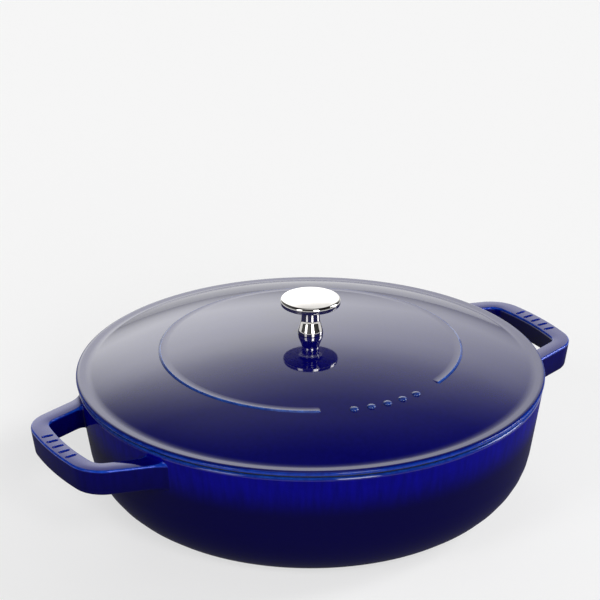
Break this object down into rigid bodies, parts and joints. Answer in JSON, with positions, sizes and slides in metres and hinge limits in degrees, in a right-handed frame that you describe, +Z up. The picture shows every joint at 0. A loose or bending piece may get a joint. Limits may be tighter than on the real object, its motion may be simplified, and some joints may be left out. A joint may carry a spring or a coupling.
{
  "type": "braiser",
  "caption": "Wide shallow round braiser with two loop handles, a domed lid with a raised ring, and a mushroom knob held by a screw from below.",
  "frame": {"origin": "centre of the flat base that the pot stands on", "axes": "+X along the line of the two handles, +Z up out of the pot, -Y towards the gap in the lid's raised ring"},
  "size_m": [0.352, 0.283, 0.1267],
  "materials": {
    "pot_enamel": "glossy deep blue enamel outside, matt black enamel inside",
    "handle_enamel": "glossy deep blue enamel",
    "lid_enamel": "glossy deep blue enamel on top, matt black enamel below",
    "knob_steel": "polished",
    "screw_steel": "plain bright steel",
    "washer_steel": "plain bright steel"
  },
  "bodies": {
    "pot": {"pot_body": "pot_enamel", "right_handle": "handle_enamel", "left_handle": "handle_enamel"},
    "lid": {"lid_shell": "lid_enamel", "knob": "knob_steel", "knob_screw": "screw_steel", "flat_washer": "washer_steel", "spring_washer": "washer_steel"}
  },
  "joints": [
    {"name": "lid_lift", "type": "slide", "parent": "pot", "child": "lid", "axis": [0, 0, 1], "range_m": [0, 0.15]}
  ]
}
